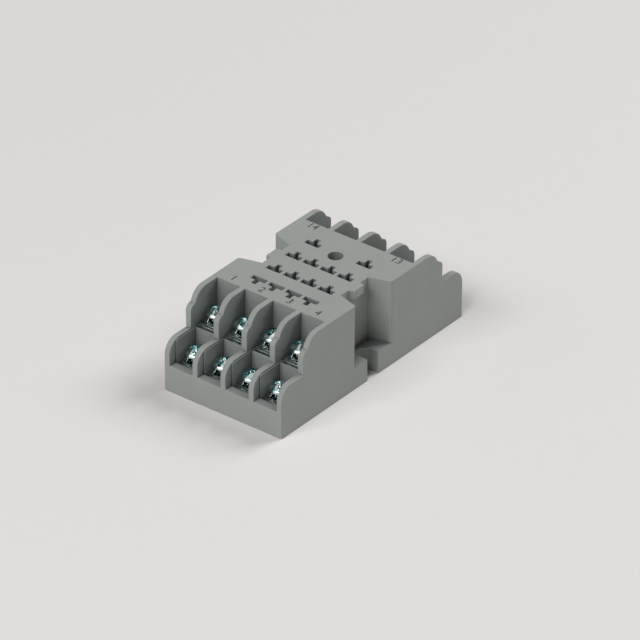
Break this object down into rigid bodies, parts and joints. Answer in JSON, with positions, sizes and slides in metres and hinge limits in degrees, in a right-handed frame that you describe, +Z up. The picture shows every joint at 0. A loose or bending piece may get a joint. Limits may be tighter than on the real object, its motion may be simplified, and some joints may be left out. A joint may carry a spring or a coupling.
{
  "type": "relay socket",
  "caption": "Plug-in relay socket: moulded housing with blade slots in its top, tiers of clamp-screw terminals at both ends and an open mounting slot in each narrowed side.",
  "frame": {"origin": "middle of the underside", "axes": "+X across the socket, +Y along it towards the coil end, +Z up out of the blade slots"},
  "size_m": [0.03, 0.0596, 0.0198],
  "materials": {
    "housing_plastic": "fine matt moulding",
    "base_plastic": "fine matt moulding",
    "contact_brass": "tinned, stamped",
    "plated_steel": "zinc plated, blue passivated"
  },
  "bodies": {
    "socket": {"housing": "housing_plastic", "base_plate": "base_plastic", "contact_01": "contact_brass", "contact_02": "contact_brass", "contact_03": "contact_brass", "contact_04": "contact_brass", "contact_05": "contact_brass", "contact_06": "contact_brass", "contact_07": "contact_brass", "contact_08": "contact_brass", "contact_09": "contact_brass", "contact_10": "contact_brass", "contact_11": "contact_brass", "contact_12": "contact_brass", "contact_13": "contact_brass", "contact_14": "contact_brass"},
    "clamp_01": {"clamp_01": "plated_steel"},
    "screw_01": {"screw_01": "plated_steel"},
    "clamp_02": {"clamp_02": "plated_steel"},
    "screw_02": {"screw_02": "plated_steel"},
    "clamp_03": {"clamp_03": "plated_steel"},
    "screw_03": {"screw_03": "plated_steel"},
    "clamp_04": {"clamp_04": "plated_steel"},
    "screw_04": {"screw_04": "plated_steel"},
    "clamp_05": {"clamp_05": "plated_steel"},
    "screw_05": {"screw_05": "plated_steel"},
    "clamp_06": {"clamp_06": "plated_steel"},
    "screw_06": {"screw_06": "plated_steel"},
    "clamp_07": {"clamp_07": "plated_steel"},
    "screw_07": {"screw_07": "plated_steel"},
    "clamp_08": {"clamp_08": "plated_steel"},
    "screw_08": {"screw_08": "plated_steel"},
    "clamp_09": {"clamp_09": "plated_steel"},
    "screw_09": {"screw_09": "plated_steel"},
    "clamp_10": {"clamp_10": "plated_steel"},
    "screw_10": {"screw_10": "plated_steel"},
    "clamp_11": {"clamp_11": "plated_steel"},
    "screw_11": {"screw_11": "plated_steel"},
    "clamp_12": {"clamp_12": "plated_steel"},
    "screw_12": {"screw_12": "plated_steel"},
    "clamp_13": {"clamp_13": "plated_steel"},
    "screw_13": {"screw_13": "plated_steel"},
    "clamp_14": {"clamp_14": "plated_steel"},
    "screw_14": {"screw_14": "plated_steel"}
  },
  "joints": [
    {"name": "clamp_lift_01", "type": "slide", "parent": "socket", "child": "clamp_01", "axis": [0, 0, 1], "range_m": [0, 0.002]},
    {"name": "screw_turn_01", "type": "hinge", "parent": "clamp_01", "child": "screw_01", "pos_m": [-0.01076, -0.0175, 0.0122], "axis": [0, 0, 1], "range_deg": [0, 1440]},
    {"name": "clamp_lift_02", "type": "slide", "parent": "socket", "child": "clamp_02", "axis": [0, 0, 1], "range_m": [0, 0.002]},
    {"name": "screw_turn_02", "type": "hinge", "parent": "clamp_02", "child": "screw_02", "pos_m": [-0.00359, -0.0175, 0.0122], "axis": [0, 0, 1], "range_deg": [0, 1440]},
    {"name": "clamp_lift_03", "type": "slide", "parent": "socket", "child": "clamp_03", "axis": [0, 0, 1], "range_m": [0, 0.002]},
    {"name": "screw_turn_03", "type": "hinge", "parent": "clamp_03", "child": "screw_03", "pos_m": [0.00359, -0.0175, 0.0122], "axis": [0, 0, 1], "range_deg": [0, 1440]},
    {"name": "clamp_lift_04", "type": "slide", "parent": "socket", "child": "clamp_04", "axis": [0, 0, 1], "range_m": [0, 0.002]},
    {"name": "screw_turn_04", "type": "hinge", "parent": "clamp_04", "child": "screw_04", "pos_m": [0.01076, -0.0175, 0.0122], "axis": [0, 0, 1], "range_deg": [0, 1440]},
    {"name": "clamp_lift_05", "type": "slide", "parent": "socket", "child": "clamp_05", "axis": [0, 0, 1], "range_m": [0, 0.002]},
    {"name": "screw_turn_05", "type": "hinge", "parent": "clamp_05", "child": "screw_05", "pos_m": [-0.01076, -0.0243, 0.0061], "axis": [0, 0, 1], "range_deg": [0, 1440]},
    {"name": "clamp_lift_06", "type": "slide", "parent": "socket", "child": "clamp_06", "axis": [0, 0, 1], "range_m": [0, 0.002]},
    {"name": "screw_turn_06", "type": "hinge", "parent": "clamp_06", "child": "screw_06", "pos_m": [-0.00359, -0.0243, 0.0061], "axis": [0, 0, 1], "range_deg": [0, 1440]},
    {"name": "clamp_lift_07", "type": "slide", "parent": "socket", "child": "clamp_07", "axis": [0, 0, 1], "range_m": [0, 0.002]},
    {"name": "screw_turn_07", "type": "hinge", "parent": "clamp_07", "child": "screw_07", "pos_m": [0.00359, -0.0243, 0.0061], "axis": [0, 0, 1], "range_deg": [0, 1440]},
    {"name": "clamp_lift_08", "type": "slide", "parent": "socket", "child": "clamp_08", "axis": [0, 0, 1], "range_m": [0, 0.002]},
    {"name": "screw_turn_08", "type": "hinge", "parent": "clamp_08", "child": "screw_08", "pos_m": [0.01076, -0.0243, 0.0061], "axis": [0, 0, 1], "range_deg": [0, 1440]},
    {"name": "clamp_lift_09", "type": "slide", "parent": "socket", "child": "clamp_09", "axis": [0, 0, 1], "range_m": [0, 0.002]},
    {"name": "screw_turn_09", "type": "hinge", "parent": "clamp_09", "child": "screw_09", "pos_m": [-0.01076, 0.0243, 0.0061], "axis": [0, 0, 1], "range_deg": [0, 1440]},
    {"name": "clamp_lift_10", "type": "slide", "parent": "socket", "child": "clamp_10", "axis": [0, 0, 1], "range_m": [0, 0.002]},
    {"name": "screw_turn_10", "type": "hinge", "parent": "clamp_10", "child": "screw_10", "pos_m": [-0.00359, 0.0243, 0.0061], "axis": [0, 0, 1], "range_deg": [0, 1440]},
    {"name": "clamp_lift_11", "type": "slide", "parent": "socket", "child": "clamp_11", "axis": [0, 0, 1], "range_m": [0, 0.002]},
    {"name": "screw_turn_11", "type": "hinge", "parent": "clamp_11", "child": "screw_11", "pos_m": [0.00359, 0.0243, 0.0061], "axis": [0, 0, 1], "range_deg": [0, 1440]},
    {"name": "clamp_lift_12", "type": "slide", "parent": "socket", "child": "clamp_12", "axis": [0, 0, 1], "range_m": [0, 0.002]},
    {"name": "screw_turn_12", "type": "hinge", "parent": "clamp_12", "child": "screw_12", "pos_m": [0.01076, 0.0243, 0.0061], "axis": [0, 0, 1], "range_deg": [0, 1440]},
    {"name": "clamp_lift_13", "type": "slide", "parent": "socket", "child": "clamp_13", "axis": [0, 0, 1], "range_m": [0, 0.002]},
    {"name": "screw_turn_13", "type": "hinge", "parent": "clamp_13", "child": "screw_13", "pos_m": [0.01076, 0.0175, 0.0122], "axis": [0, 0, 1], "range_deg": [0, 1440]},
    {"name": "clamp_lift_14", "type": "slide", "parent": "socket", "child": "clamp_14", "axis": [0, 0, 1], "range_m": [0, 0.002]},
    {"name": "screw_turn_14", "type": "hinge", "parent": "clamp_14", "child": "screw_14", "pos_m": [-0.01076, 0.0175, 0.0122], "axis": [0, 0, 1], "range_deg": [0, 1440]}
  ],
  "couplings": [
    {"joint": "screw_turn_01", "follows": "clamp_lift_01", "rad_per_m": 12566},
    {"joint": "screw_turn_02", "follows": "clamp_lift_02", "rad_per_m": 12566},
    {"joint": "screw_turn_03", "follows": "clamp_lift_03", "rad_per_m": 12566},
    {"joint": "screw_turn_04", "follows": "clamp_lift_04", "rad_per_m": 12566},
    {"joint": "screw_turn_05", "follows": "clamp_lift_05", "rad_per_m": 12566},
    {"joint": "screw_turn_06", "follows": "clamp_lift_06", "rad_per_m": 12566},
    {"joint": "screw_turn_07", "follows": "clamp_lift_07", "rad_per_m": 12566},
    {"joint": "screw_turn_08", "follows": "clamp_lift_08", "rad_per_m": 12566},
    {"joint": "screw_turn_09", "follows": "clamp_lift_09", "rad_per_m": 12566},
    {"joint": "screw_turn_10", "follows": "clamp_lift_10", "rad_per_m": 12566},
    {"joint": "screw_turn_11", "follows": "clamp_lift_11", "rad_per_m": 12566},
    {"joint": "screw_turn_12", "follows": "clamp_lift_12", "rad_per_m": 12566},
    {"joint": "screw_turn_13", "follows": "clamp_lift_13", "rad_per_m": 12566},
    {"joint": "screw_turn_14", "follows": "clamp_lift_14", "rad_per_m": 12566}
  ]
}
